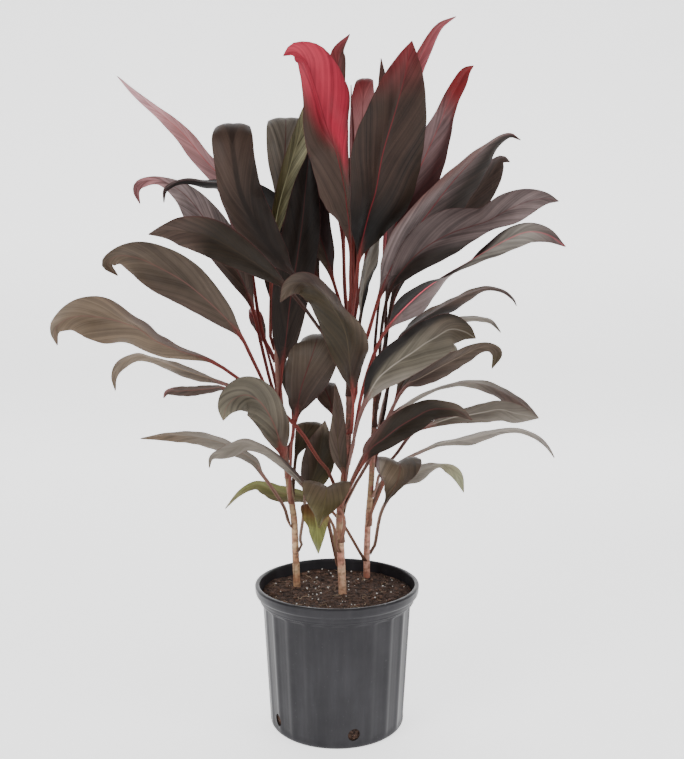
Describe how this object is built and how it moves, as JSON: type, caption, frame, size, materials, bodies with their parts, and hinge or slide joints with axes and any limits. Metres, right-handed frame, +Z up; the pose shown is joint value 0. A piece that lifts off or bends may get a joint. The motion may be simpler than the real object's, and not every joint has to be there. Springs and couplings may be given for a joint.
{
  "type": "potted ti plant",
  "caption": "Upright foliage plant with long clasping brown-purple and red leaves on bare canes, standing in a fluted plastic nursery pot of potting mix.",
  "frame": {"origin": "middle of the pot's foot, on the surface that it stands on", "axes": "+Z up, the picture's viewer at -Y, +X to the viewer's right"},
  "size_m": [0.7867, 0.5888, 1.1648],
  "materials": {
    "pot_plastic": "satin blue-black polyethylene with soft upright highlights",
    "potting_mix": "rough dark bark and peat with white perlite",
    "cane_bark": "matt tan bark with leaf scars",
    "leaf_dark": "satin brown-purple with fine slanting veins",
    "leaf_red": "satin crimson, darker toward the base",
    "leaf_mauve": "satin greyish mauve with a dark red rib",
    "leaf_olive": "satin grey-green to olive"
  },
  "bodies": {
    "root": {"pot": "pot_plastic", "soil": "potting_mix", "cane_left": "cane_bark", "cane_middle": "cane_bark", "cane_right": "cane_bark", "leaf_left_pink": "leaf_red", "leaf_left_grey_arch": "leaf_mauve", "leaf_left_olive_folded": "leaf_olive", "leaf_left_blunt": "leaf_dark", "leaf_left_inner": "leaf_dark", "leaf_left_brown_broad": "leaf_dark", "leaf_left_thin_arch": "leaf_dark", "leaf_left_small_red": "leaf_dark", "leaf_left_front_droop": "leaf_olive", "leaf_left_long_thin": "leaf_olive", "leaf_left_front_broad": "leaf_dark", "leaf_left_low_dark": "leaf_olive", "leaf_left_curled": "leaf_olive", "leaf_back_left": "leaf_dark", "leaf_back_left_small": "leaf_dark", "leaf_back_left_low": "leaf_olive", "leaf_top_red": "leaf_red", "leaf_top_dark": "leaf_dark", "leaf_top_small_red": "leaf_red", "leaf_top_spear": "leaf_dark", "leaf_top_round": "leaf_dark", "leaf_top_dark_tip": "leaf_dark", "leaf_mid_arching": "leaf_dark", "leaf_mid_pale_narrow": "leaf_mauve", "leaf_mid_dark_upright": "leaf_dark", "leaf_mid_left_upright": "leaf_dark", "leaf_mid_left_olive": "leaf_dark", "leaf_mid_left_thin": "leaf_mauve", "leaf_mid_right_olive": "leaf_dark", "leaf_mid_right_dark": "leaf_dark", "leaf_mid_right_pink_rib": "leaf_mauve", "leaf_mid_right_mauve": "leaf_mauve", "leaf_mid_right_green_tip": "leaf_dark", "leaf_mid_right_long_arch": "leaf_mauve", "leaf_mid_left_great_brown": "leaf_dark", "leaf_mid_left_low_grey": "leaf_olive", "leaf_mid_left_low_green": "leaf_olive", "leaf_mid_low_green_tip": "leaf_olive", "leaf_mid_left_black": "leaf_dark", "leaf_mid_low_narrow": "leaf_olive", "leaf_back_middle": "leaf_dark", "leaf_back_middle_left": "leaf_dark", "leaf_right_pink_tip": "leaf_red", "leaf_right_red_tip": "leaf_red", "leaf_right_dark_behind": "leaf_dark", "leaf_right_grey_long": "leaf_mauve", "leaf_right_thin_arch": "leaf_mauve", "leaf_right_thin_small": "leaf_dark", "leaf_right_long_grey": "leaf_olive", "leaf_right_front_droop": "leaf_olive", "leaf_right_green_tip": "leaf_olive", "leaf_right_grey_green": "leaf_olive", "leaf_right_low_droop": "leaf_olive", "leaf_back_right": "leaf_dark", "leaf_back_right_low": "leaf_olive"}
  },
  "joints": []
}
